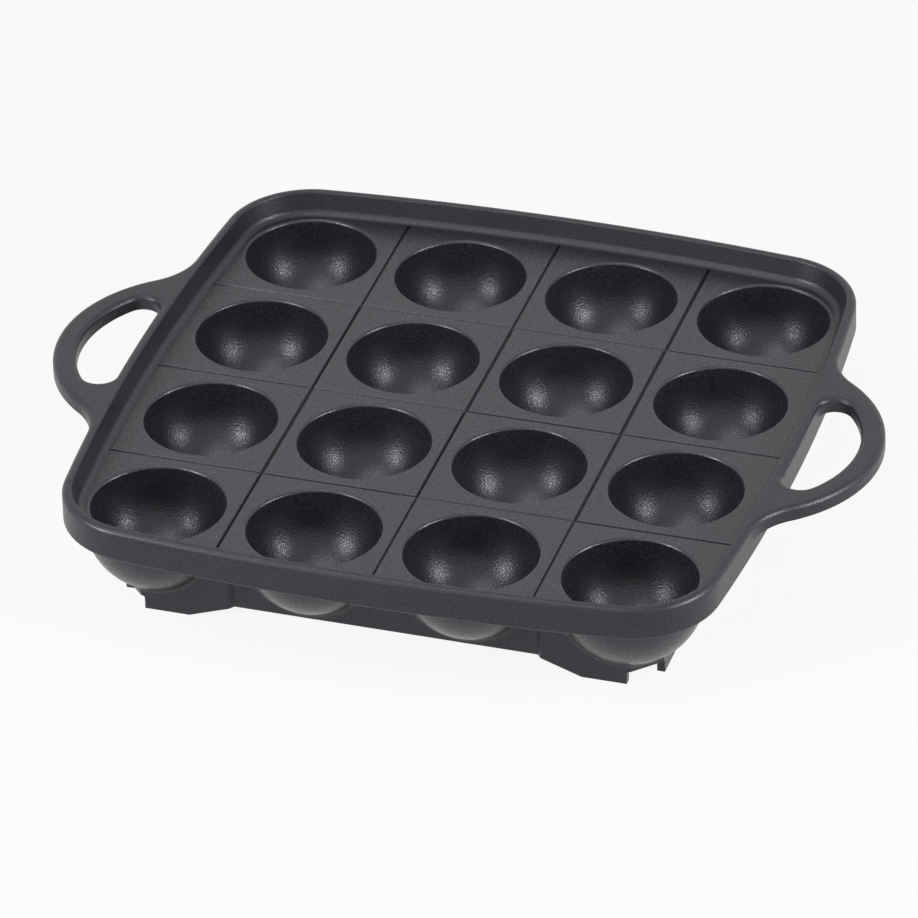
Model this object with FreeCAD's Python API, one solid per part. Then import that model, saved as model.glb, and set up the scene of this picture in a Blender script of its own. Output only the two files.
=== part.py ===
import FreeCAD, Part
import math
import os

# A stove-top takoyaki plate: one die-cast tray of round cups, with a raised rim, two loop handles and a footed
# skirt below. The casting is shaped whole and then parted into its named regions, which meet face to face.
#
# Millimetres. The origin is on the floor under the middle of the tray, +Z is up, and the handles lie along X.

Vector = FreeCAD.Vector
FORWARD = Vector(1, 0, 0)
UP = Vector(0, 0, 1)
MIDDLE = Vector(0, 0, 0)

# ---- Cups ----
cups_per_side = 4
bowl_radius = 21.5              # inside of the round bowl
bowl_wall = 2.5
cup_gap = 4.0                   # between the outsides of neighbouring cups
cup_clearance = 4.5             # undersides of the cups above the floor
bowl_centre_drop = 4.2          # the bowl's centre lies this far below the deck
mouth_round = 1.0               # rounded edge where the bowl meets the deck
bulge_flare = 1.6               # fillet where the bowl's outside meets the deck's underside

# ---- Deck ----
deck_thickness = 3.3
score_width = 1.5
score_depth = 0.7
score_run_out = 1.4             # how far a score line runs on into the foot of the rim

# ---- Rim ----
mouth_margin = 0.35             # flat deck between an outer cup's mouth and the rim's region
side_bow_radius = 850.0         # the sides bow gently outwards
corner_radius = 29.0
rim_height = 7.7                # rim top above the deck
rim_width = 3.1
rim_draft = 2.0                 # the inner wall leans out by this much towards its top
rim_inner_round = 0.8
edge_round = 1.2                # rounded top edges outside, round the grips too
under_round = 0.8               # rounded bottom edge of the rim
tray_fillet = 2.6               # where the deck turns up into the rim
seam_margin = 0.25              # the cups' region ends this far inside that fillet

# ---- Handles ----
handle_thickness = 5.0
handle_loop = 26.25             # a handle reaches this far past the rim
handle_outer_radius = 47.8
handle_band = 7.7               # width of the grip at its middle
handle_hole_round = 5.9
handle_hole_edge = 1.8          # rounded top edge of the finger hole
handle_blend_radius = 22.0      # hollow curve where the grip runs into the rim
handle_seam_run = 3.0           # the handle's region ends this far past that curve

# ---- Skirt and feet ----
skirt_stand_out = 11.5          # outer face of the feet past the outer cups' axes
skirt_wall = 2.6
skirt_rise = 0.2                # lower edge of the skirt above the cups' undersides
skirt_fillet = 3.5              # where a cup's outside comes out of the wall
fillet_bite = 0.05              # that fillet runs this far into the cup, so that the two cross cleanly
skirt_corner_cut = 8.6          # the corners are cut across by this leg
skirt_recess = 1.7              # the middle of each wall is set back between its feet
recess_step = 1.4               # run of the slope down into that recess
foot_reach = 26.4               # a foot's slope starts this far inside the outer cup's axis
foot_slope_run = 13.4
foot_end_gap = 0.2              # between a foot's rounded end and the corner wall
foot_end_round = 0.9

# ---- Places worked out from the sizes above ----
bulge_radius = bowl_radius + bowl_wall
cup_pitch = 2 * bulge_radius + cup_gap
outer_cup = cup_pitch * (cups_per_side - 1) / 2
bowl_centre = cup_clearance + bulge_radius
deck_height = bowl_centre + bowl_centre_drop
deck_under = deck_height - deck_thickness
rim_top = deck_height + rim_height
rim_lean = math.atan(rim_draft / rim_height)
fillet_foot = rim_width + rim_draft + tray_fillet * math.tan(math.pi / 4 - rim_lean / 2)
deck_seam = fillet_foot + seam_margin
bow_drop = side_bow_radius - math.sqrt(side_bow_radius ** 2 - outer_cup ** 2)
tray_half_width = outer_cup + bowl_radius + mouth_round + mouth_margin + bow_drop + deck_seam
bow_centre = tray_half_width - side_bow_radius
handle_under = rim_top - handle_thickness
handle_reach = tray_half_width + handle_loop
handle_circle_x = handle_reach - handle_outer_radius
hole_radius = handle_outer_radius - handle_band
skirt_half_width = outer_cup + skirt_stand_out
skirt_clearance = cup_clearance + skirt_rise
skirt_end = skirt_half_width - skirt_corner_cut
foot_inner_end = outer_cup - foot_reach
foot_outer_end = skirt_end - foot_end_gap - foot_end_round
corner_stand_off = skirt_stand_out * math.sqrt(2) - skirt_corner_cut / math.sqrt(2)
past = 5.0                      # how far a cutting tool runs past the faces that it cuts


# ---- Small helpers ----
def polar(centre, radius, angle):
    """The point at an angle, in radians, on a circle drawn flat around centre."""
    return centre + Vector(radius * math.cos(angle), radius * math.sin(angle), 0)


def arc(centre, radius, start, end):
    """A flat arc from the angle start to the angle end, in radians."""
    points = [polar(centre, radius, angle) for angle in (start, (start + end) / 2, end)]
    return Part.Arc(*points).toShape()


def upright_arc(centre, radius, start, end):
    """An arc in the XZ plane, between two angles in radians measured from +X towards +Z."""
    points = []
    for angle in (start, (start + end) / 2, end):
        points.append(centre + Vector(radius * math.cos(angle), 0, radius * math.sin(angle)))
    return Part.Arc(*points).toShape()


def line(start, end):
    return Part.LineSegment(start, end).toShape()


def turned(shape, quarter_turns):
    """A copy of shape, turned about the tray's middle."""
    copy = shape.copy()
    copy.rotate(MIDDLE, UP, 90 * quarter_turns)
    return copy


def lifted(shape, z):
    copy = shape.copy()
    copy.translate(Vector(0, 0, z))
    return copy


def prism(wire, bottom, top):
    """A solid from the height bottom to the height top, over a wire drawn at height 0."""
    return Part.Face(lifted(wire, bottom)).extrude(Vector(0, 0, top - bottom))


def polygon_solid(points, sweep):
    """A solid that sweeps the closed polygon over points along a vector."""
    return Part.Face(Part.makePolygon(points + [points[0]])).extrude(sweep)


def block(low, high):
    size = high - low
    return Part.makeBox(size.x, size.y, size.z, low)


def heading(start, end):
    """The flat angle of the way from start to end."""
    return math.atan2(end.y - start.y, end.x - start.x)


def where_circles_meet(centre_x_1, radius_1, centre_x_2, radius_2):
    """The upper crossing of two circles whose centres lie on the X axis."""
    between = centre_x_2 - centre_x_1
    x = (centre_x_2 ** 2 - centre_x_1 ** 2 + radius_1 ** 2 - radius_2 ** 2) / (2 * between)
    y = math.sqrt(radius_1 ** 2 - (x - centre_x_1) ** 2)
    return Vector(x, y, 0)


def rounded(solid, radius, belongs):
    """The solid with the edges that belong rounded off."""
    edges = [edge for edge in solid.Edges if belongs(edge)]
    return solid.makeFillet(radius, edges)


def lies_at(z):
    """A test for edges that lie flat at the height z."""
    def belongs(edge):
        box = edge.BoundBox
        return abs(box.ZMin - z) < 0.001 and abs(box.ZMax - z) < 0.001
    return belongs


def lies_within(z, reach_x, reach_y):
    """A test for edges that lie flat at the height z and reach no further than this from the middle."""
    at_height = lies_at(z)

    def belongs(edge):
        box = edge.BoundBox
        far_x = max(abs(box.XMin), abs(box.XMax))
        far_y = max(abs(box.YMin), abs(box.YMax))
        return at_height(edge) and far_x < reach_x + 0.01 and far_y < reach_y + 0.01
    return belongs


# ---- The tray's outline ----
side_middle = Vector(bow_centre, 0, 0)
handle_middle = Vector(handle_circle_x, 0, 0)


def corner_centre():
    """Where a corner's arc is centred, so that it runs smoothly into both bowed sides."""
    run = side_bow_radius - corner_radius
    along = (bow_centre + math.sqrt(2 * run ** 2 - bow_centre ** 2)) / 2
    return Vector(along, along, 0)


corner_middle = corner_centre()
side_turn = heading(side_middle, corner_middle)
blend_middle = where_circles_meet(
    bow_centre, side_bow_radius + handle_blend_radius, handle_circle_x, handle_outer_radius + handle_blend_radius
)
blend_turn = heading(side_middle, blend_middle)
grip_turn = heading(handle_middle, blend_middle)
handle_seam = blend_middle.y + handle_seam_run
hole_round_middle = where_circles_meet(
    bow_centre, side_bow_radius + handle_hole_round, handle_circle_x, hole_radius - handle_hole_round
)
hole_end = hole_round_middle.y + handle_hole_round


def outline(inset):
    """The tray's outline at height 0, moved in by inset: four bowed sides joined by four corner arcs."""
    edges = []
    for side in range(4):
        edges.append(turned(arc(side_middle, side_bow_radius - inset, -side_turn, side_turn), side))
        corner = arc(corner_middle, corner_radius - inset, side_turn, math.pi / 2 - side_turn)
        edges.append(turned(corner, side))
    return Part.Wire(edges)


def outline_with_handles():
    """The outline with both grips, which leave the bowed sides in hollow curves."""
    edges = []
    for side in range(4):
        if side % 2 == 0:
            way_round = [
                arc(side_middle, side_bow_radius, -side_turn, -blend_turn),
                arc(blend_at(-1), handle_blend_radius, math.pi - blend_turn, math.pi - grip_turn),
                arc(handle_middle, handle_outer_radius, -grip_turn, grip_turn),
                arc(blend_at(1), handle_blend_radius, math.pi + grip_turn, math.pi + blend_turn),
                arc(side_middle, side_bow_radius, blend_turn, side_turn),
            ]
        else:
            way_round = [arc(side_middle, side_bow_radius, -side_turn, side_turn)]
        way_round.append(arc(corner_middle, corner_radius, side_turn, math.pi / 2 - side_turn))
        edges += [turned(edge, side) for edge in way_round]
    return Part.Wire(edges)


def blend_at(end):
    """The centre of the hollow curve at the upper (1) or lower (-1) end of a grip."""
    return Vector(blend_middle.x, end * blend_middle.y, 0)


def hole_outline():
    """The finger hole of the right handle: along the rim's outer face, and round inside the grip."""
    below = Vector(hole_round_middle.x, -hole_round_middle.y, 0)
    rim_turn = heading(side_middle, hole_round_middle)
    grip_end = heading(handle_middle, hole_round_middle)
    return Part.Wire([
        arc(side_middle, side_bow_radius, rim_turn, -rim_turn),
        arc(below, handle_hole_round, math.pi - rim_turn, 2 * math.pi - grip_end),
        arc(handle_middle, hole_radius, -grip_end, grip_end),
        arc(hole_round_middle, handle_hole_round, grip_end, math.pi + rim_turn),
    ])


# ---- The tray without its cups ----
def tray_space():
    """The shallow hollow inside the rim, with drafted walls and a filleted foot."""
    foot = lifted(outline(rim_width + rim_draft), deck_height)
    top = lifted(outline(rim_width), rim_top)
    hollow = Part.makeLoft([foot, top], True, True)
    hollow = rounded(hollow, tray_fillet, lies_at(deck_height))
    return hollow.fuse(prism(outline(rim_width), rim_top, rim_top + past)).removeSplitter()


def tray_body():
    """Deck, rim and handles as one body, not yet scored."""
    low = prism(outline(0), deck_under, handle_under)
    high = prism(outline_with_handles(), handle_under, rim_top)
    body = low.fuse(high).removeSplitter()
    for side in (0, 2):
        body = body.cut(turned(prism(hole_outline(), deck_under - past, rim_top + past), side))
    in_hole = lies_within(rim_top, handle_circle_x + hole_radius, hole_end)
    body = rounded(body, handle_hole_edge, in_hole)
    body = rounded(body, edge_round, lambda edge: lies_at(rim_top)(edge) and not in_hole(edge))
    body = rounded(body, under_round, lies_at(deck_under))
    body = body.cut(tray_space())
    inner_reach = tray_half_width - rim_width
    return rounded(body, rim_inner_round, lies_within(rim_top, inner_reach, inner_reach))


def score_tools():
    """The V grooves between the cups, both ways across the deck."""
    reach = tray_half_width - fillet_foot + score_run_out
    tools = []
    for number in range(1, cups_per_side):
        at = cup_pitch * (number - cups_per_side / 2)
        groove = [
            Vector(-reach, at, deck_height - score_depth),
            Vector(-reach, at + score_width / 2, deck_height),
            Vector(-reach, at + score_width / 2, deck_height + score_depth),
            Vector(-reach, at - score_width / 2, deck_height + score_depth),
            Vector(-reach, at - score_width / 2, deck_height),
        ]
        across = polygon_solid(groove, FORWARD * (2 * reach))
        tools += [across, turned(across, 1)]
    return tools


# ---- Cups ----
def revolved(edges, centre):
    """A full turn of a profile drawn in the XZ plane, moved onto a cup's axis."""
    solid = Part.Face(Part.Wire(edges)).revolve(MIDDLE, UP, 360)
    solid.translate(centre)
    return solid


def bowl_space(centre):
    """All that is hollow in a cup: the round bowl, its short upright wall and the rounded mouth."""
    round_middle = Vector(bowl_radius + mouth_round, 0, deck_height - mouth_round)
    mouth_edge = Vector(round_middle.x, 0, deck_height)
    above = mouth_edge + UP * past
    axis_top = Vector(0, 0, above.z)
    sphere_middle = Vector(0, 0, bowl_centre)
    return revolved([
        upright_arc(sphere_middle, bowl_radius, -math.pi / 2, 0),
        line(sphere_middle + FORWARD * bowl_radius, Vector(bowl_radius, 0, round_middle.z)),
        upright_arc(round_middle, mouth_round, math.pi, math.pi / 2),
        line(mouth_edge, above),
        line(above, axis_top),
        line(axis_top, sphere_middle - UP * bowl_radius),
    ], centre)


def bowl_outside(centre):
    """A cup's outside as a full round body that flares into the deck's underside."""
    sphere_middle = Vector(0, 0, bowl_centre)
    flare_z = deck_under - bulge_flare
    touch = math.asin((flare_z - bowl_centre) / (bulge_radius + bulge_flare))
    flare_middle = Vector((bulge_radius + bulge_flare) * math.cos(touch), 0, flare_z)
    flare_top = flare_middle + UP * bulge_flare
    axis_top = Vector(0, 0, deck_under)
    return revolved([
        upright_arc(sphere_middle, bulge_radius, -math.pi / 2, touch),
        upright_arc(flare_middle, bulge_flare, math.pi + touch, math.pi / 2),
        line(flare_top, axis_top),
        line(axis_top, sphere_middle - UP * bulge_radius),
    ], centre)


def cup_centre(row, column):
    """Rows count from the front, columns from the left."""
    return Vector(cup_pitch * column - outer_cup, cup_pitch * row - outer_cup, 0)


def cell(row, column):
    """The upright square that a cup owns; an outer cup's reaches on outwards."""
    centre = cup_centre(row, column)
    low = centre - Vector(cup_pitch / 2, cup_pitch / 2, 0)
    high = centre + Vector(cup_pitch / 2, cup_pitch / 2, rim_top)
    if column == 0:
        low.x -= cup_pitch
    if row == 0:
        low.y -= cup_pitch
    if column == cups_per_side - 1:
        high.x += cup_pitch
    if row == cups_per_side - 1:
        high.y += cup_pitch
    return block(low, high)


def cup(row, column, deck, scores):
    centre = cup_centre(row, column)
    owned = cell(row, column)
    shape = deck.common(owned).fuse(bowl_outside(centre).common(owned))
    shape = shape.cut(bowl_space(centre))
    for score in scores:
        shape = shape.cut(score)
    return shape.removeSplitter()


# ---- Skirt and feet ----
def fillet_ring(centre, stand_off, angle):
    """The fillet all round a cup where it comes out of an upright wall.

    The wall's face stands off from the cup's axis, and its normal lies at the angle, in degrees.
    """
    sphere_middle = centre + UP * bowl_centre
    touch_radius = bulge_radius - fillet_bite
    reach = touch_radius + skirt_fillet
    across = stand_off + skirt_fillet
    up = math.sqrt(reach ** 2 - across ** 2)
    touch = Vector(across, 0, up) * (touch_radius / reach)
    root = stand_off - skirt_wall / 2
    wall_foot = sphere_middle + Vector(stand_off, 0, up)
    wall_root = sphere_middle + Vector(root, 0, up)
    cup_foot = sphere_middle + touch
    cup_root = sphere_middle + Vector(root, 0, touch.z)
    profile = Part.Wire([
        upright_arc(sphere_middle + Vector(across, 0, up), skirt_fillet, math.pi, math.pi + math.atan2(up, across)),
        line(cup_foot, cup_root),
        line(cup_root, wall_root),
        line(wall_root, wall_foot),
    ])
    ring = Part.Face(profile).revolve(sphere_middle, FORWARD, 360)
    ring.rotate(centre, UP, angle)
    return ring


def skirt_prism(plan):
    """An upright solid of the skirt's height over the points of a plan."""
    rise = Vector(0, 0, deck_under - skirt_clearance)
    return polygon_solid([Vector(x, y, skirt_clearance) for x, y in plan], rise)


def with_mirror(half):
    """The points of a plan's upper half and their mirror images below the X axis, in order."""
    return [(x, -y) for x, y in half[::-1]] + half


def skirt_walls(outsides):
    """The right skirt wall and the corner wall next to it, filleted to the cups' outsides and cut clear of them."""
    inner = skirt_half_width - skirt_wall
    set_back = skirt_half_width - skirt_recess
    mitre = skirt_end - skirt_wall * math.tan(math.pi / 8)
    mitre_out = (inner + past, mitre + past * math.tan(math.pi / 8))
    recess_end = foot_inner_end - recess_step
    wall = skirt_prism(with_mirror([
        (set_back - skirt_wall, recess_end),
        (inner, foot_inner_end),
        (inner, mitre),
        (skirt_half_width, skirt_end),
        (skirt_half_width, foot_inner_end),
        (set_back, recess_end),
    ]))
    corner = skirt_prism([(skirt_half_width, skirt_end), (skirt_end, skirt_half_width), (mitre, inner), (inner, mitre)])
    wall_zone = skirt_prism(with_mirror([(inner, mitre), mitre_out]))
    corner_zone = skirt_prism([(inner, mitre), mitre_out, mitre_out[::-1], (mitre, inner)])
    last = cups_per_side - 1
    for row in range(cups_per_side):
        stand_off = skirt_stand_out if row in (0, last) else skirt_stand_out - skirt_recess
        wall = wall.fuse(fillet_ring(cup_centre(row, last), stand_off, 0).common(wall_zone))
    corner = corner.fuse(fillet_ring(cup_centre(last, last), corner_stand_off, 45).common(corner_zone))
    for outside in outsides:
        wall = wall.cut(outside)
        corner = corner.cut(outside)
    return wall.removeSplitter(), corner.removeSplitter()


def foot():
    """The tab at the far end of the right skirt wall: it slopes down to a flat sole and rounds in at its end."""
    x = skirt_half_width - skirt_wall
    hollow = Vector(x, foot_outer_end + foot_end_round, skirt_clearance - foot_end_round)
    sole_start = Vector(x, foot_inner_end + foot_slope_run, 0)
    sole_end = Vector(x, foot_outer_end, 0)
    end_top = Vector(x, foot_outer_end, hollow.z)
    corner_top = Vector(x, hollow.y, skirt_clearance)
    slope_top = Vector(x, foot_inner_end, skirt_clearance)
    half = foot_end_round * math.sqrt(0.5)
    round_edge = Part.Arc(end_top, hollow + Vector(0, -half, half), corner_top).toShape()
    side = Part.Wire([
        line(slope_top, sole_start),
        line(sole_start, sole_end),
        line(sole_end, end_top),
        round_edge,
        line(corner_top, slope_top),
    ])
    return Part.Face(side).extrude(FORWARD * skirt_wall)


# ---- The parts ----
def parts():
    """Every region of the casting by its name."""
    found = {}
    body = tray_body()
    scores = score_tools()
    deck_plan = outline(deck_seam)
    deck = prism(deck_plan, deck_under, deck_height)
    for row in range(cups_per_side):
        for column in range(cups_per_side):
            found[f"cup_r{row + 1}_c{column + 1}"] = cup(row, column, deck, scores)

    ring = body.cut(prism(deck_plan, deck_under - past, deck_height + past))
    for score in scores:
        ring = ring.cut(score)
    far = handle_reach + past
    right = block(Vector(0, -handle_seam, 0), Vector(far, handle_seam, rim_top))
    back = block(Vector(-far, handle_seam, 0), Vector(far, far, rim_top))
    found["right_handle"] = ring.common(right)
    found["left_handle"] = ring.common(turned(right, 2))
    found["back_rim"] = ring.common(back)
    found["front_rim"] = ring.common(turned(back, 2))

    last = cups_per_side - 1
    outsides = [bowl_outside(cup_centre(row, last)) for row in range(cups_per_side)]
    wall, corner = skirt_walls(outsides)
    upper_foot = foot()
    lower_foot = upper_foot.mirror(MIDDLE, Vector(0, 1, 0))
    sides = ("right", "back", "left", "front")
    corners = ("back_right", "back_left", "front_left", "front_right")
    for side in range(4):
        name = sides[side]
        before = sides[side - 1]
        after = sides[(side + 1) % 4]
        found[f"{name}_skirt"] = turned(wall, side)
        found[f"{corners[side]}_corner_skirt"] = turned(corner, side)
        found[f"{name}_skirt_{before}_foot"] = turned(lower_foot, side)
        found[f"{name}_skirt_{after}_foot"] = turned(upper_foot, side)
    return found


def main():
    os.makedirs("parts", exist_ok=True)
    for name, shape in parts().items():
        shape.exportStep(f"parts/{name}.step")
        solids = len(shape.Solids)
        print(f"{name}: {solids} solid(s), valid {shape.isValid()}, {shape.Volume:.1f} mm3")


main()
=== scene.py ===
"""Dresses a packed takoyaki plate for display: the coated casting, a pale floor, soft lamps and the camera."""
import logging
import math
from collections import Counter
from contextlib import contextmanager
from dataclasses import dataclass, field
from enum import Enum
from typing import Callable, Iterator

import bpy
from mathutils import Matrix, Vector


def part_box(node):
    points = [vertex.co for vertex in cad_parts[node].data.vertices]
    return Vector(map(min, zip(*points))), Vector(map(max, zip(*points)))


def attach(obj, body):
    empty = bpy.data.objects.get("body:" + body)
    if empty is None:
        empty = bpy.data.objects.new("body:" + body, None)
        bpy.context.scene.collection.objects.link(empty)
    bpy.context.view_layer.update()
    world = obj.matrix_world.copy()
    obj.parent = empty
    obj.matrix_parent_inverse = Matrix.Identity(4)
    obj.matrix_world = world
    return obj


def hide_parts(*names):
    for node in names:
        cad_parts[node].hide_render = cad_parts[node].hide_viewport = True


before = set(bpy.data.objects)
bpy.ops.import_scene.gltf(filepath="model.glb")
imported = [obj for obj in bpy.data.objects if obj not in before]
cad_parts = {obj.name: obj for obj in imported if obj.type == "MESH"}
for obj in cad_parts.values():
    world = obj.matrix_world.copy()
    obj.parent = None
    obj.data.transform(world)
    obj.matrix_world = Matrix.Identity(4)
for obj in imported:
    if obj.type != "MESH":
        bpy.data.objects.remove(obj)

log = logging.getLogger("takoyaki_plate")
Piece = bpy.types.Object

MM = 0.001
FORWARD = Vector((1, 0, 0))
ALONG = Vector((0, 1, 0))
UP = Vector((0, 0, 1))
MIDDLE = Vector((0, 0, 0))
WELD = 0.002 * MM               # points nearer to each other than this are one point
LEVEL = 0.01 * MM               # how exactly a point has to lie at a height to count as lying there
SAME = 0.05 * MM                # sizes nearer to each other than this are the same
PAST = 5.0 * MM                 # how far a cutting tool runs past the faces that it cuts
LITTLE = 1.0 * MM               # how far a tool runs past a face where there is less room
ROUND_STEPS = 7                 # how many edges a rounded corner has
QUARTER = math.pi / 2
MITRE_SLOPE = math.tan(math.pi / 8)  # of the planes between the straight walls and those across the corners
SMOOTH_UP_TO = math.radians(32)  # edges that turn by less than this are shaded smooth
WHITE = (1, 1, 1, 1)
MIX_FACTOR, MIX_A, MIX_B, MIX_RESULT = 0, 6, 7, 2  # the sockets of a Mix node for colours
SIDES = ("right", "back", "left", "front")
CORNERS = ("back_right", "back_left", "front_left", "front_right")


class Slot(Enum):
    """The record's material slots."""

    NON_STICK = "non_stick_coating"
    OUTER = "outer_coating"


# ---- Sizes ----


@dataclass
class PlateSizes:
    """The casting's driving sizes in metres, and the places that follow from them."""

    cups_per_side: int = 4
    bowl_radius: float = 21.5 * MM
    bowl_wall: float = 2.5 * MM
    cup_gap: float = 4.0 * MM
    cup_clearance: float = 4.5 * MM
    bowl_centre_drop: float = 4.2 * MM
    mouth_round: float = 1.0 * MM
    bulge_flare: float = 1.6 * MM
    deck_thickness: float = 3.3 * MM
    mouth_margin: float = 0.35 * MM
    side_bow_radius: float = 850.0 * MM
    corner_radius: float = 29.0 * MM
    rim_height: float = 7.7 * MM
    rim_width: float = 3.1 * MM
    rim_draft: float = 2.0 * MM
    rim_inner_round: float = 0.8 * MM
    edge_round: float = 1.9 * MM    # 1.2 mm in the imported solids: the coated edge looks rounder
    under_round: float = 0.8 * MM
    tray_fillet: float = 2.6 * MM
    seam_margin: float = 0.25 * MM
    handle_thickness: float = 5.0 * MM
    handle_loop: float = 26.25 * MM
    handle_outer_radius: float = 47.8 * MM
    handle_band: float = 7.7 * MM
    handle_hole_round: float = 5.9 * MM
    handle_hole_edge: float = 1.8 * MM
    handle_blend_radius: float = 22.0 * MM
    handle_seam_run: float = 3.0 * MM
    skirt_stand_out: float = 11.5 * MM
    skirt_wall: float = 2.6 * MM
    skirt_rise: float = 0.2 * MM
    skirt_fillet: float = 3.5 * MM
    skirt_corner_cut: float = 8.6 * MM
    skirt_recess: float = 1.7 * MM
    recess_step: float = 1.4 * MM
    skirt_edge_round: float = 0.45 * MM
    foot_reach: float = 26.4 * MM
    foot_slope_run: float = 13.4 * MM
    foot_end_gap: float = 0.2 * MM
    foot_end_round: float = 0.9 * MM

    def __post_init__(self) -> None:
        """Works out the places that follow."""
        # Cups: their outer radius, the way from axis to axis, the outermost axes, and the height of the centres.
        self.bulge_radius: float = self.bowl_radius + self.bowl_wall
        self.cup_pitch: float = 2 * self.bulge_radius + self.cup_gap
        self.outer_cup: float = self.cup_pitch * (self.cups_per_side - 1) / 2
        self.bowl_centre: float = self.cup_clearance + self.bulge_radius
        # Heights of the cooking face, of the underside of deck and rim, and of rim and handles.
        self.deck_height: float = self.bowl_centre + self.bowl_centre_drop
        self.deck_under: float = self.deck_height - self.deck_thickness
        self.rim_top: float = self.deck_height + self.rim_height
        # Where the tray's fillet meets the deck and where the cups' region ends, inside the rim's outer face.
        lean = math.atan(self.rim_draft / self.rim_height)
        self.fillet_foot: float = (self.rim_width + self.rim_draft
                                   + self.tray_fillet * math.tan(math.pi / 4 - lean / 2))
        self.deck_seam: float = self.fillet_foot + self.seam_margin
        # The rim's outer face at the middle of a side, and the outermost point of a handle.
        reach = self.outer_cup + self.bowl_radius + self.mouth_round + self.mouth_margin + self.deck_seam
        self.tray_half_width: float = reach + self.bow_drop(self.outer_cup)
        self.handle_reach: float = self.tray_half_width + self.handle_loop
        # The outer face of the feet, the height of the skirt's lower edge, and, from the middle of a side, where a
        # straight wall ends outside and inside and where a foot's slope starts.
        self.skirt_half_width: float = self.outer_cup + self.skirt_stand_out
        self.skirt_clearance: float = self.cup_clearance + self.skirt_rise
        self.skirt_end: float = self.skirt_half_width - self.skirt_corner_cut
        self.skirt_mitre: float = self.skirt_end - self.skirt_wall * MITRE_SLOPE
        self.foot_inner_end: float = self.outer_cup - self.foot_reach

    def bow_drop(self, along: float) -> float:
        """How far in from its middle a bowed side is, this far along it."""
        return self.side_bow_radius - math.sqrt(self.side_bow_radius ** 2 - along ** 2)

    def cup_centre(self, row: int, column: int) -> Vector:
        """A cup's axis at height 0. Rows count from the front and columns from the left, from 0."""
        return Vector((self.cup_pitch * column - self.outer_cup, self.cup_pitch * row - self.outer_cup, 0))

    def check_against_frame(self) -> None:
        """Stops if these sizes aren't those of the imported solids.

        Raises:
            ValueError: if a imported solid's box is somewhere else.
        """
        cup_low, cup_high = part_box("cup_r2_c2")
        packed_sizes = {
            "cup_pitch": cup_high.x - cup_low.x,
            "deck_height": cup_high.z,
            "cup_clearance": cup_low.z,
            "rim_top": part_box("front_rim")[1].z,
            "tray_half_width": -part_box("front_rim")[0].y,
            "handle_reach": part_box("right_handle")[1].x,
            "skirt_half_width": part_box("right_skirt_back_foot")[1].x,
        }
        for name, packed in packed_sizes.items():
            here = getattr(self, name)
            if abs(here - packed) > SAME:
                raise ValueError(f"{name} is {here / MM:.2f} mm here and {packed / MM:.2f} mm in the packed model")


def heading(start: Vector, end: Vector) -> float:
    """The flat angle of the way from start to end."""
    return math.atan2(end.y - start.y, end.x - start.x)


def where_circles_meet(centre_x_1: float, radius_1: float, centre_x_2: float, radius_2: float) -> Vector:
    """Where two circles with their centres on the X axis cross.

    Args:
        centre_x_1: the first circle's centre.
        radius_1: its radius.
        centre_x_2: the second circle's centre.
        radius_2: its radius.

    Returns:
        The crossing with the positive Y.
    """
    between = centre_x_2 - centre_x_1
    x = (centre_x_2 ** 2 - centre_x_1 ** 2 + radius_1 ** 2 - radius_2 ** 2) / (2 * between)
    return Vector((x, math.sqrt(radius_1 ** 2 - (x - centre_x_1) ** 2), 0))


@dataclass
class Plan:
    """The tray seen from above: where the arcs of its outline are centred and how far each one turns."""

    sizes: PlateSizes

    def __post_init__(self) -> None:
        """Works out the arcs."""
        sizes = self.sizes
        bow, grip, blend = sizes.side_bow_radius, sizes.handle_outer_radius, sizes.handle_blend_radius
        # Centres of the right side's bow and of the back right corner, which runs smoothly into both bowed sides.
        self.side_middle: Vector = Vector((sizes.tray_half_width - bow, 0, 0))
        run, x = bow - sizes.corner_radius, self.side_middle.x
        along = (x + math.sqrt(2 * run ** 2 - x ** 2)) / 2
        self.corner_middle: Vector = Vector((along, along, 0))
        # Half the angle that a side turns through, and the angle that a corner turns through.
        self.side_turn: float = heading(self.side_middle, self.corner_middle)
        self.corner_turn: float = QUARTER - 2 * self.side_turn
        # Centres of the right grip's arcs, of the hollow curve between grip and rim, and of the finger hole's end.
        self.handle_middle: Vector = Vector((sizes.handle_reach - grip, 0, 0))
        self.blend_middle: Vector = where_circles_meet(x, bow + blend, self.handle_middle.x, grip + blend)
        self.hole_radius: float = grip - sizes.handle_band
        end_round = sizes.handle_hole_round
        self.hole_round_middle: Vector = where_circles_meet(x, bow + end_round, self.handle_middle.x,
                                                            self.hole_radius - end_round)
        # Where the handle's length of rim ends, from the middle of the side.
        self.handle_seam: float = self.blend_middle.y + sizes.handle_seam_run

    def turn_to(self, along: float) -> float:
        """The angle about side_middle at which the rim's outer face is this far along the side."""
        return math.asin(along / self.sizes.side_bow_radius)


# ---- Hand tools ----


def deselect_all() -> None:
    """Leaves nothing selected and nothing active."""
    for other in bpy.context.selected_objects:
        other.select_set(False)
    bpy.context.view_layer.objects.active = None


def pick(piece: Piece) -> None:
    """Makes one piece the selected and active one.

    Args:
        piece: the piece.
    """
    deselect_all()
    piece.select_set(True)
    bpy.context.view_layer.objects.active = piece


@contextmanager
def editing(piece: Piece, mode: str = "VERT", select_all: bool = True) -> Iterator[None]:
    """Edit mode on one piece.

    Args:
        piece: the piece to edit.
        mode: VERT, EDGE or FACE.
        select_all: whether all of it is selected first; otherwise the selection stays as it is.

    Yields:
        Nothing; the piece leaves edit mode at the end.
    """
    pick(piece)
    bpy.ops.object.mode_set(mode="EDIT")
    bpy.ops.mesh.select_mode(type=mode)
    if select_all:
        bpy.ops.mesh.select_all(action="SELECT")
    try:
        yield
    finally:
        bpy.ops.object.mode_set(mode="OBJECT")


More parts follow.
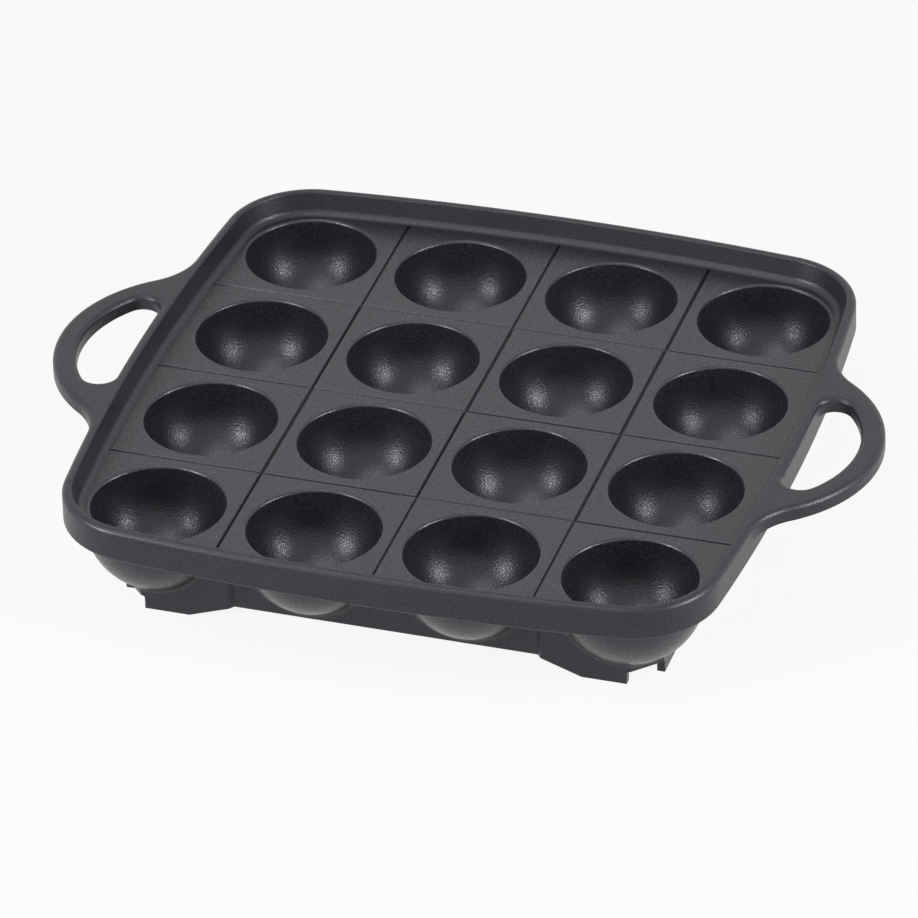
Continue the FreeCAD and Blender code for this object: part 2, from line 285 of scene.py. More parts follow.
def select_edges(piece: Piece, belongs: Callable[[bpy.types.MeshEdge], bool]) -> None:
    """Selects the edges that belong and nothing else.

    Args:
        piece: a piece in object mode.
        belongs: the test for an edge.
    """
    mesh = piece.data
    chosen = [belongs(edge) for edge in mesh.edges]
    ends = {index for edge, is_chosen in zip(mesh.edges, chosen) if is_chosen for index in edge.vertices}
    mesh.polygons.foreach_set("select", [False] * len(mesh.polygons))
    mesh.vertices.foreach_set("select", [index in ends for index in range(len(mesh.vertices))])
    mesh.edges.foreach_set("select", chosen)


def open_edges_at(piece: Piece, height: float) -> set[int]:
    """Finds the edges at a height that fewer than two faces use.

    Args:
        piece: the piece.
        height: the height.

    Returns:
        The numbers of the edges.
    """
    points = piece.data.vertices
    uses = Counter(key for polygon in piece.data.polygons for key in polygon.edge_keys)
    return {edge.index for edge in piece.data.edges if uses[edge.key] < 2
            and all(abs(points[index].co.z - height) < LEVEL for index in edge.vertices)}


def merge_all() -> None:
    """In edit mode, merges doubled points and leaves everything selected."""
    bpy.ops.mesh.select_all(action="SELECT")
    bpy.ops.mesh.remove_doubles(threshold=WELD)
    bpy.ops.mesh.select_all(action="SELECT")


def turn(centre: Vector, angle: float, axis: Vector, steps: int) -> None:
    """Spins what is selected in edit mode, anticlockwise about an axis; the operator's own angle runs clockwise.

    Args:
        centre: a point on the axis.
        angle: the angle in radians.
        axis: the axis's direction.
        steps: how many steps the turn is made in.
    """
    bpy.ops.mesh.spin(steps=steps, angle=-angle, center=centre, axis=axis)


@dataclass(frozen=True)
class Bend:
    """One arc of a path seen from above: what is swept turns round centre by angle, in steps."""

    centre: Vector
    angle: float
    steps: int


class Pen:
    """Draws a line of edges as by hand: one point is extruded along straight runs and spun round arcs."""

    def __init__(self, name: str, start: Vector) -> None:
        """Sets the pen down.

        Args:
            name: the new object's name.
            start: the line's first point.
        """
        deselect_all()
        bpy.ops.mesh.primitive_plane_add(size=MM, location=start)
        self.piece = bpy.context.object
        self.piece.name = name
        bpy.ops.object.transform_apply(location=True, rotation=True, scale=True)
        bpy.ops.object.mode_set(mode="EDIT")
        bpy.ops.mesh.select_mode(type="VERT")
        bpy.ops.mesh.select_all(action="SELECT")
        bpy.ops.mesh.merge(type="CENTER")
        self.tip = start.copy()

    def line_to(self, point: Vector) -> None:
        """A straight run, unless the pen is there already.

        Args:
            point: where it runs to.
        """
        if (point - self.tip).length < WELD:
            return
        bpy.ops.mesh.extrude_region_move(TRANSFORM_OT_translate={"value": point - self.tip})
        self.tip = point.copy()

    def arc(self, centre: Vector, angle: float, axis: Vector, steps: int) -> None:
        """An arc round centre.

        Args:
            centre: the arc's centre.
            angle: how far it turns, in radians, anticlockwise about axis.
            axis: the normal of the arc's plane.
            steps: how many edges it has.
        """
        turn(centre, angle, axis, steps)
        self.tip = centre + Matrix.Rotation(angle, 3, axis) @ (self.tip - centre)

    def round_corner(self, corner: Vector, onward_to: Vector, radius: float) -> None:
        """A straight run towards a corner, and an arc round it.

        Args:
            corner: the corner.
            onward_to: where the line goes on to after the corner.
            radius: the arc's radius; 0 leaves the corner sharp.
        """
        if not radius:
            self.line_to(corner)
            return
        inward = (corner - self.tip).normalized()
        onward = (onward_to - corner).normalized()
        angle = inward.angle(onward)
        axis = inward.cross(onward).normalized()
        start = corner - inward * radius * math.tan(angle / 2)
        self.line_to(start)
        self.arc(start + axis.cross(inward) * radius, angle, axis, ROUND_STEPS)

    def rounded_line(self, corners: list[tuple[Vector, float]]) -> None:
        """Straight runs from corner to corner, up to the last one.

        Args:
            corners: the corners, each with the radius that rounds it.
        """
        for (corner, radius), (following, _) in zip(corners, corners[1:]):
            self.round_corner(corner, following, radius)
        self.line_to(corners[-1][0])

    def closed(self) -> Piece:
        """Leaves edit mode and closes the solid.

        Returns:
            The closed solid.
        """
        bpy.ops.object.mode_set(mode="OBJECT")
        weld(self.piece)
        return self.piece

    def swept(self, path: list[Bend]) -> Piece:
        """Sweeps the whole line along a path of arcs.

        Args:
            path: the arcs, in order.

        Returns:
            The swept skin, open at its ends.
        """
        merge_all()
        for bend in path:
            turn(bend.centre, bend.angle, UP, bend.steps)
        bpy.ops.object.mode_set(mode="OBJECT")
        return self.piece

    def extruded(self, sweep: Vector) -> Piece:
        """Fills the closed line with a face and extrudes it.

        Args:
            sweep: how far, and which way.

        Returns:
            The closed solid.
        """
        merge_all()
        bpy.ops.mesh.edge_face_add()
        bpy.ops.mesh.extrude_region_move(TRANSFORM_OT_translate={"value": sweep})
        return self.closed()

    def turned(self, centre: Vector, axis: Vector, steps: int) -> Piece:
        """Turns the line once round an axis, as on a lathe.

        Args:
            centre: a point on the axis.
            axis: its direction.
            steps: how many steps the turn has.

        Returns:
            The closed solid.
        """
        merge_all()
        turn(centre, math.tau, axis, steps)
        return self.closed()


def extruded_outline(name: str, corners: list[tuple[Vector, float]], sweep: Vector) -> Piece:
    """A solid from a closed outline.

    Args:
        name: its name.
        corners: the outline's corners, each with the radius that rounds it; the first one stays sharp.
        sweep: how far the outline is extruded, and which way.

    Returns:
        The closed solid.
    """
    pen = Pen(name, corners[0][0])
    pen.rounded_line(corners[1:] + corners[:1])
    return pen.extruded(sweep)


def weld(piece: Piece) -> None:
    """Merges doubled points and turns every face outwards.

    Args:
        piece: the piece.
    """
    with editing(piece):
        merge_all()
        bpy.ops.mesh.normals_make_consistent(inside=False)


def placed(name: str, data: bpy.types.ID) -> Piece:
    """Adds an object to the scene.

    Args:
        name: its name.
        data: its mesh, lamp or camera.

    Returns:
        The new object.
    """
    thing = bpy.data.objects.new(name, data)
    bpy.context.scene.collection.objects.link(thing)
    return thing


def copy_of(piece: Piece, name: str, quarter_turns: int = 0, move: Vector = MIDDLE) -> Piece:
    """A copy with its own mesh.

    Args:
        piece: what to copy.
        name: the copy's name.
        quarter_turns: how many quarter turns about the tray's middle it is given.
        move: how far it is moved before that.

    Returns:
        The copy, in its place.
    """
    copy = placed(name, piece.data.copy())
    copy.data.name = name
    copy.data.transform(Matrix.Rotation(quarter_turns * QUARTER, 4, "Z") @ Matrix.Translation(move))
    return copy


def joined(pieces: list[Piece]) -> Piece:
    """Joins several pieces.

    Args:
        pieces: the pieces.

    Returns:
        All of them as one piece, which keeps the first one's name.
    """
    pick(pieces[0])
    for piece in pieces[1:]:
        piece.select_set(True)
    if len(pieces) > 1:
        bpy.ops.object.join()
    return pieces[0]


def remove(piece: Piece) -> None:
    """Clears away a piece that was only a tool or a pattern."""
    bpy.data.objects.remove(piece)


def finish_with(piece: Piece, kind: str, **settings: object) -> None:
    """Gives the piece a modifier and applies it.

    Args:
        piece: the piece.
        kind: the modifier's type.
        settings: its settings by name.
    """
    pick(piece)
    modifier = piece.modifiers.new(kind.lower(), kind)
    for setting, value in settings.items():
        setattr(modifier, setting, value)
    bpy.ops.object.modifier_apply(modifier=modifier.name)


def combine(piece: Piece, operation: str, tool: Piece, keep_tool: bool = False) -> None:
    """Joins a tool to a piece, cuts it out of it, or keeps what they share.

    Args:
        piece: the piece that changes.
        operation: UNION, DIFFERENCE or INTERSECT.
        tool: the other solid.
        keep_tool: whether the tool is needed again.
    """
    finish_with(piece, "BOOLEAN", object=tool, operation=operation, solver="EXACT")
    if not keep_tool:
        remove(tool)


def saw(piece: Piece, point: Vector, normal: Vector) -> None:
    """Cuts off what lies beyond a plane, on the side that its normal points to, and closes the cut."""
    with editing(piece):
        bpy.ops.mesh.bisect(plane_co=point, plane_no=normal, use_fill=True, clear_outer=True, threshold=WELD)


def skin_over(piece: Piece, height: float) -> None:
    """Fills the open loops that lie at a height with one flat skin, leaving the holes in it open.

    Args:
        piece: the piece.
        height: the height.
    """
    loose = open_edges_at(piece, height)
    select_edges(piece, lambda edge: edge.index in loose)
    with editing(piece, "EDGE", select_all=False):
        bpy.ops.mesh.fill(use_beauty=True)


def bridge_loose_ends(piece: Piece, height: float) -> None:
    """Joins the two loose ends of the open line at a height, at the far end and at the near end of the piece.

    Args:
        piece: the piece.
        height: the height.
    """
    loose = open_edges_at(piece, height)
    mesh = piece.data
    meetings = Counter(index for edge in mesh.edges if edge.index in loose for index in edge.vertices)
    ends = [index for index, count in meetings.items() if count == 1]
    for side in (1, -1):
        pair = {index for index in ends if mesh.vertices[index].co.y * side > 0}
        select_edges(piece, lambda edge: False)
        mesh.vertices.foreach_set("select", [index in pair for index in range(len(mesh.vertices))])
        with editing(piece, select_all=False):
            bpy.ops.mesh.edge_face_add()


# ---- Finishes ----


def linear(colour: str) -> tuple[float, float, float, float]:
    """Turns a colour to linear, by the numbers of the sRGB standard.

    Args:
        colour: an sRGB hex colour.

    Returns:
        The colour as linear RGBA.
    """
    def to_linear(share: float) -> float:
        """One channel, from 0 to 1."""
        return share / 12.92 if share <= 0.04045 else ((share + 0.055) / 1.055) ** 2.4

    return (*(to_linear(int(colour[at:at + 2], 16) / 255) for at in (1, 3, 5)), 1.0)


def add_node(tree: bpy.types.NodeTree, kind: str, settings: dict | None = None,
             links: dict | None = None) -> bpy.types.Node:
    """Adds one node.

    Args:
        tree: the node tree.
        kind: the node's type.
        settings: values by the name of a property, or by the name or number of an input socket.
        links: output sockets by the name or number of the input socket that each one feeds.

    Returns:
        The node.
    """
    node = tree.nodes.new(kind)
    for name, value in (settings or {}).items():
        if isinstance(name, str) and hasattr(node, name):
            setattr(node, name, value)
        else:
            node.inputs[name].default_value = value
    for name, output in (links or {}).items():
        tree.links.new(output, node.inputs[name])
    return node


def blank_tree(owner: bpy.types.Material | bpy.types.World) -> bpy.types.NodeTree:
    """Empties the node tree of a material or a world.

    Args:
        owner: the material or the world.

    Returns:
        Its empty node tree.
    """
    owner.use_nodes = True
    owner.node_tree.nodes.clear()
    return owner.node_tree


@dataclass(frozen=True)
class Coating:
    """A sprayed and baked coating on die-cast aluminium.

    The dark matrix carries fine mineral flecks that are smoother than it, so a lamp shows as a granular glow.
    The spray leaves the face a little rough and the tone a little uneven. The real grit is about 0.1 mm, and it is
    drawn coarser so that it shows.
    """

    name: str
    dark: str
    light: str
    fleck: str
    roughness: float
    fleck_roughness: float
    specular: float
    fleck_size: float = 0.5 * MM
    fleck_from: float = 0.48
    fleck_to: float = 0.62
    grain: float = 0.65 * MM
    grain_height: float = 0.10 * MM
    grain_strength: float = 1.0
    cloud: float = 22.0 * MM
    cloud_from: float = 0.35
    cloud_to: float = 0.65
    details: tuple[float, ...] = (2.0, 1.0, 3.0)    # of the noise in the grain, the flecks and the clouds
    noise_roughness: float = 0.6
    ior: float = 1.5
    gloss: str = "#FAF5FF"

    def build(self) -> bpy.types.Material:
        """Makes the material.

        Returns:
            A material on Object coordinates, so that it runs on across the seams between pieces.
        """
        material = bpy.data.materials.new(self.name)
        tree = blank_tree(material)
        place = add_node(tree, "ShaderNodeTexCoord").outputs["Object"]
        grain, fleck, cloud = (
            add_node(tree, "ShaderNodeTexNoise",
                     {"Scale": 1 / size, "Detail": detail, "Roughness": self.noise_roughness},
                     {"Vector": place}).outputs["Fac"]
            for size, detail in zip((self.grain, self.fleck_size, self.cloud), self.details))
        share = add_node(tree, "ShaderNodeMapRange", {"From Min": self.cloud_from, "From Max": self.cloud_to},
                         {"Value": cloud})
        matrix = add_node(tree, "ShaderNodeValToRGB", {}, {"Fac": share.outputs["Result"]})
        matrix.color_ramp.elements[0].color = linear(self.dark)
        matrix.color_ramp.elements[1].color = linear(self.light)
        flecks = add_node(tree, "ShaderNodeMapRange", {"From Min": self.fleck_from, "From Max": self.fleck_to},
                          {"Value": fleck}).outputs["Result"]
        colour = add_node(tree, "ShaderNodeMix", {"data_type": "RGBA", MIX_B: linear(self.fleck)},
                          {MIX_FACTOR: flecks, MIX_A: matrix.outputs["Color"]})
        satin = add_node(tree, "ShaderNodeMapRange", {"To Min": self.roughness, "To Max": self.fleck_roughness},
                         {"Value": flecks})
        bump = add_node(tree, "ShaderNodeBump", {"Strength": self.grain_strength, "Distance": self.grain_height},
                        {"Height": grain})
        coat = add_node(tree, "ShaderNodeBsdfPrincipled",
                        {"IOR": self.ior, "Specular IOR Level": self.specular, "Specular Tint": linear(self.gloss)},
                        {"Base Color": colour.outputs[MIX_RESULT], "Roughness": satin.outputs["Result"],
                         "Normal": bump.outputs["Normal"]})
        add_node(tree, "ShaderNodeOutputMaterial", {}, {"Surface": coat.outputs["BSDF"]})
        return material


# A fluoropolymer non-stick coat with mineral grit: satin, so the lamps show in it as soft granular spots.
NON_STICK = Coating(name="sprayed_non_stick_coating", dark="#151419", light="#1B1A1F", fleck="#37353B",
                    roughness=0.36, fleck_roughness=0.20, specular=0.60)
# A silicone heat-resistant paint: more matt, with a faint violet cast.
HEAT_RESISTANT = Coating(name="baked_heat_resistant_paint", dark="#151519", light="#1B1A1F", fleck="#2E2C32",
                         roughness=0.42, fleck_roughness=0.32, specular=0.50, grain_strength=0.6)


@dataclass
class Dresser:
    """Gives finished pieces their smoothing and coat, and lets them stand for their solids."""

    coats: dict[Slot, bpy.types.Material]

    def dress(self, piece: Piece, slot: Slot, *nodes: str) -> None:
        """Finishes one piece.

        Args:
            piece: the piece, at the origin, with its place in its mesh.
            slot: the record's slot that its coat belongs to.
            nodes: the solids that it stands for.
        """
        pick(piece)
        bpy.ops.object.shade_smooth_by_angle(angle=SMOOTH_UP_TO)
        finish_with(piece, "WEIGHTED_NORMAL", mode="FACE_AREA", keep_sharp=True)
        piece.data.materials.clear()
        piece.data.materials.append(self.coats[slot])
        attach(piece, "root")
        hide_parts(*nodes)
        log.info("%s: %d faces, for %s", piece.name, len(piece.data.polygons), ", ".join(nodes))

    def dress_both(self, pattern: Piece, part: str, *sides: str) -> None:
        """Finishes copies of a pattern on its own side and on the opposite one, and clears it away.

        Args:
            pattern: the piece to copy.
            part: what it is called in the names of pieces and solids.
            sides: its own side, and the opposite one.
        """
        for side, quarter in zip(sides, (0, 2)):
            self.dress(copy_of(pattern, f"coated_{side}_{part}", quarter), Slot.OUTER, f"{side}_{part}")
        remove(pattern)


# ---- Sub-assemblies ----


@dataclass
class ScoreBars:
    """The bars that cut the V grooves between the cups, with their worn lips: one set along X and one along Y.

    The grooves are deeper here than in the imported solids, where they are plain.
    """

    sizes: PlateSizes
    width_along_x: float = 0.9 * MM
    width_along_y: float = 1.5 * MM
    depth: float = 1.15 * MM
    bottom_round: float = 0.2 * MM
    lip_round: float = 0.6 * MM
    lip_reach: float = 1.2 * MM
    lip_rise: float = 0.08 * MM
    run_out: float = 0.3 * MM
    along_x: Piece = field(init=False)
    along_y: Piece = field(init=False)

    def __post_init__(self) -> None:
        """Makes both sets."""
        self.along_x = self.bars("score_bars_along_x", self.width_along_x)
        pattern = self.bars("score_bars", self.width_along_y)
        self.along_y = copy_of(pattern, "score_bars_along_y", quarter_turns=1)
        remove(pattern)

    def bars(self, name: str, width: float) -> Piece:
        """Three bars along X, one for each gap between two rows of cups, from wall to wall.

        Args:
            name: the tool's name.
            width: how wide the grooves are between their lips.

        Returns:
            The bars as one tool.
        """
        sizes = self.sizes
        half = width / 2
        section = (((-self.lip_reach, LITTLE), 0), ((-self.lip_reach, self.lip_rise), 0),
                   ((-half, 0), self.lip_round), ((0, -self.depth), self.bottom_round), ((half, 0), self.lip_round),
                   ((self.lip_reach, self.lip_rise), 0), ((self.lip_reach, LITTLE), 0))
        bars = []
        for y in (-sizes.cup_pitch, 0, sizes.cup_pitch):
            reach = sizes.tray_half_width - sizes.bow_drop(y) - sizes.fillet_foot + self.run_out
            corners = [(Vector((-reach, y + across, sizes.deck_height + z)), radius)
                       for (across, z), radius in section]
            bars.append(extruded_outline(name, corners, FORWARD * 2 * reach))
        return joined(bars)

    def cut(self, piece: Piece, both_ways: bool) -> None:
        """Scores a piece along Y, or both ways.

        Args:
            piece: the piece.
            both_ways: whether it is scored along X too.
        """
        combine(piece, "DIFFERENCE", self.along_y, keep_tool=True)
        if both_ways:
            combine(piece, "DIFFERENCE", self.along_x, keep_tool=True)

    def clear_away(self) -> None:
        """Removes the bars."""
        remove(self.along_x)
        remove(self.along_y)


@dataclass
class Bowls:
    """The round forms of the cups, turned as on a lathe."""

    sizes: PlateSizes
    round_steps: int = 112
    upright_steps: int = 26
    small_steps: int = 6
    bite: float = 0.05 * MM         # how far a fillet runs into its cup

    def hollow(self) -> Piece:
        """Turns all that is hollow in a cup.

        Returns:
            The round bowl, its short upright wall and the rounded mouth, as one tool on the Z axis.
        """
        sizes = self.sizes
        centre = UP * sizes.bowl_centre
        mouth = Vector((sizes.bowl_radius, 0, sizes.deck_height))
        mouth_edge = mouth + FORWARD * sizes.mouth_round
        pen = Pen("bowl_hollow", centre - UP * sizes.bowl_radius)
        pen.arc(centre, -QUARTER, ALONG, self.upright_steps)
        pen.round_corner(mouth, mouth_edge, sizes.mouth_round)
        pen.line_to(mouth_edge + UP * PAST)
        pen.line_to(UP * pen.tip.z)
        return pen.turned(MIDDLE, UP, self.round_steps)

    def outside(self, shrink: float = 0.0) -> Piece:
        """A cup's outside as a full round body that flares into the deck's underside.

        Args:
            shrink: how much smaller it is all round.

        Returns:
            The body, with its top just inside the deck.
        """
        sizes = self.sizes
        centre = UP * sizes.bowl_centre
        reach = sizes.bulge_radius + sizes.bulge_flare
        flare_z = sizes.deck_under - sizes.bulge_flare
        touch = math.asin((flare_z - sizes.bowl_centre) / reach)
        flare_middle = Vector((reach * math.cos(touch), 0, flare_z))
        pen = Pen("cup_outside", centre - UP * (sizes.bulge_radius - shrink))
        pen.arc(centre, -(QUARTER + touch), ALONG, self.upright_steps)
        pen.arc(flare_middle, QUARTER + touch, ALONG, self.small_steps)
        pen.line_to(pen.tip + UP * LITTLE - FORWARD * LITTLE)
        pen.line_to(UP * pen.tip.z)
        return pen.turned(MIDDLE, UP, self.round_steps)

    def fillet_ring(self, stand_off: float) -> Piece:
        """The fillet all round a cup where it comes out of an upright wall that faces +X.

        Args:
            stand_off: how far the wall's face is from the cup's axis.

        Returns:
            The ring, for a cup on the Z axis.
        """
        sizes = self.sizes
        centre = UP * sizes.bowl_centre
        reach = sizes.bulge_radius - self.bite + sizes.skirt_fillet
        across = stand_off + sizes.skirt_fillet
        high = math.sqrt(reach ** 2 - across ** 2)
        root = stand_off - sizes.skirt_wall / 2
        start = centre + Vector((stand_off, 0, high))
        pen = Pen("fillet_ring", start)
        pen.arc(centre + Vector((across, 0, high)), -math.atan2(high, across), ALONG, self.small_steps)
        pen.line_to(Vector((root, 0, pen.tip.z)))
        pen.line_to(Vector((root, 0, start.z)))
        pen.line_to(start)
        return pen.turned(centre, FORWARD, self.round_steps)


@dataclass
class Assembly:
    """What a sub-assembly is modelled from."""

    sizes: PlateSizes
    plan: Plan
    bowls: Bowls
    scores: ScoreBars
    dresser: Dresser


@dataclass
class Cups(Assembly):
    """The sixteen cups, each with its square of deck out to the score lines."""

    side_steps: int = 16
    corner_steps: int = 22

    def deck(self) -> Piece:
        """Models the deck out to the foot of the rim.

        Returns:
            The deck as one slab.
        """
        sizes, plan = self.sizes, self.plan
        radius = sizes.side_bow_radius - sizes.deck_seam
        level = UP * sizes.deck_under
        way = Vector((radius * math.cos(-plan.side_turn), radius * math.sin(-plan.side_turn), 0))
        pen = Pen("deck_slab", plan.side_middle + way + level)
        for side in range(len(SIDES)):
            quarter = Matrix.Rotation(side * QUARTER, 3, "Z")
            pen.arc(quarter @ plan.side_middle + level, 2 * plan.side_turn, UP, self.side_steps)
            pen.arc(quarter @ plan.corner_middle + level, plan.corner_turn, UP, self.corner_steps)
        return pen.extruded(UP * sizes.deck_thickness)

    def cup(self, deck: Piece, row: int, column: int) -> Piece:
        """One cup with its piece of the deck.

        Args:
            deck: the whole slab.
            row: the cup's row, from the front, from 0.
            column: its column, from the left, from 0.

        Returns:
            The cup in its place.
        """
        sizes = self.sizes
        last = sizes.cups_per_side - 1
        centre = sizes.cup_centre(row, column)
        half = sizes.cup_pitch / 2
        piece = copy_of(deck, f"cup_{row + 1}_{column + 1}")
        sides = ((FORWARD, column == last), (-FORWARD, column == 0), (ALONG, row == last), (-ALONG, row == 0))
        for way, is_open in sides:
            if not is_open:
                saw(piece, centre + way * half, way)
        for operation, tool in (("UNION", self.bowls.outside()), ("DIFFERENCE", self.bowls.hollow())):
            tool.data.transform(Matrix.Translation(centre))
            combine(piece, operation, tool)
        self.scores.cut(piece, both_ways=True)
        weld(piece)
        return piece

    def build(self) -> None:
        """Models the four cups that differ, and copies each one to where quarter turns take it."""
        deck = self.deck()
        last = self.sizes.cups_per_side - 1
        for row, column in [*((row, last) for row in range(1, last + 1)), (last - 1, last - 1)]:
            pattern = self.cup(deck, row, column)
            for quarter in range(len(SIDES)):
                node = f"cup_r{row + 1}_c{column + 1}"
                self.dresser.dress(copy_of(pattern, f"coated_{node}", quarter), Slot.NON_STICK, node)
                row, column = column, last - row
            remove(pattern)
        remove(deck)


@dataclass
class Rims(Assembly):
    """The front and the back rim, each with its two corners."""

    side_steps: int = 10
    corner_steps: int = 30
    end_steps: int = 3

    def front(self) -> Piece:
        """Sweeps the rim's section from the middle of the front round one corner, and mirrors it.

        Returns:
            The front rim.
        """
        sizes, plan = self.sizes, self.plan
        bottom, top, deck = sizes.deck_under, sizes.rim_top, sizes.deck_height
        # Inward from the rim's outer face at the middle of the front side, upward, and the radius of the corner.
        section = [(Vector((0, inset - sizes.tray_half_width, z)), radius) for inset, z, radius in (
            (sizes.deck_seam / 2, bottom, 0), (0, bottom, sizes.under_round), (0, top, sizes.edge_round),
            (sizes.rim_width, top, sizes.rim_inner_round),
            (sizes.rim_width + sizes.rim_draft, deck, sizes.tray_fillet),
            (sizes.deck_seam, deck, 0), (sizes.deck_seam, bottom, 0))]
        pen = Pen("front_rim_section", section[0][0])
        pen.rounded_line(section[1:] + section[:1])
        clockwise = Matrix.Rotation(-QUARTER, 3, "Z")
        stop = plan.turn_to(plan.handle_seam - PAST)
        rim = pen.swept([
            Bend(clockwise @ plan.side_middle, plan.side_turn, self.side_steps),
            Bend(clockwise @ plan.corner_middle, plan.corner_turn, self.corner_steps),
            Bend(plan.side_middle, plan.side_turn - stop, self.end_steps),
        ])
        saw(rim, ALONG * -plan.handle_seam, ALONG)
        finish_with(rim, "MIRROR", use_axis=(True, False, False), merge_threshold=WELD)
        weld(rim)
        self.scores.cut(rim, both_ways=False)
        weld(rim)
        return rim

    def build(self) -> None:
        """Models the front rim and copies it to the back."""
        self.dresser.dress_both(self.front(), "rim", "front", "back")


@dataclass
class Handles(Assembly):
    """The two loop handles, each with the length of rim that carries it."""

    hole_steps: int = 10
    shoulder_steps: int = 8
    end_steps: int = 2
    grip_steps: int = 30
    blend_steps: int = 16
    hole_round_steps: int = 16

    def right(self) -> Piece:
        """Sweeps three strips over the handle's far half, mirrors them, and skins them over above and below.

        Returns:
            The right handle.
        """
        sizes, plan = self.sizes, self.plan
        top, bottom, deck, wall = sizes.rim_top, sizes.deck_under, sizes.deck_height, sizes.tray_half_width
        below = top - sizes.handle_thickness
        hole_turn = heading(plan.side_middle, plan.hole_round_middle)
        blend_turn = heading(plan.side_middle, plan.blend_middle)
        grip_turn = heading(plan.handle_middle, plan.blend_middle)
        hole_end = heading(plan.handle_middle, plan.hole_round_middle)
        along_hole = Bend(plan.side_middle, hole_turn, self.hole_steps)
        past_hole = Bend(plan.side_middle, blend_turn - hole_turn, self.shoulder_steps)
        stop = plan.turn_to(plan.handle_seam + PAST)
        past_grip = Bend(plan.side_middle, stop - blend_turn, self.end_steps)

        def at(x: float, z: float) -> Vector:
            """A point of the section at the middle of the side."""
            return Vector((x, 0, z))

        rim = Pen("right_handle_rim", at(wall, below))
        rim.rounded_line([(at(wall, bottom), sizes.under_round), (at(wall - sizes.deck_seam, bottom), 0),
                          (at(wall - sizes.deck_seam, deck), 0)])
        rim.round_corner(at(wall - sizes.rim_width - sizes.rim_draft, deck), at(wall - sizes.rim_width, top),
                         sizes.tray_fillet)
        rim.round_corner(at(wall - sizes.rim_width, top), at(wall, top), sizes.rim_inner_round)
        rim_strip = rim.swept([along_hole, past_hole, past_grip])

        outer = Pen("right_handle_outer", at(sizes.handle_reach, below))
        outer.round_corner(at(sizes.handle_reach, top), at(wall, top), sizes.edge_round)
        outer_strip = outer.swept([
            Bend(plan.handle_middle, grip_turn, self.grip_steps),
            Bend(plan.blend_middle, blend_turn - grip_turn, self.blend_steps),
            past_grip,
        ])

        hole_x = plan.handle_middle.x + plan.hole_radius
        hole = Pen("right_handle_hole", at(hole_x, below))
        hole.round_corner(at(hole_x, top), at(sizes.handle_reach, top), sizes.handle_hole_edge)
        hole_strip = hole.swept([
            Bend(plan.handle_middle, hole_end, self.grip_steps),
            Bend(plan.hole_round_middle, math.pi + hole_turn - hole_end, self.hole_round_steps),
            Bend(plan.side_middle, -hole_turn, self.hole_steps),
        ])

        handle = joined([rim_strip, outer_strip, hole_strip])
        weld(handle)
        finish_with(handle, "MIRROR", use_axis=(False, True, False), merge_threshold=WELD)
        weld(handle)
        bridge_loose_ends(handle, top)
        skin_over(handle, top)
        skin_over(handle, below)
        weld(handle)
        for way in (ALONG, -ALONG):
            saw(handle, way * plan.handle_seam, way)
        weld(handle)
        combine(handle, "DIFFERENCE", self.scores.along_x, keep_tool=True)
        weld(handle)
        return handle

    def build(self) -> None:
        """Models the right handle and copies it to the left."""
        self.dresser.dress_both(self.right(), "handle", "right", "left")


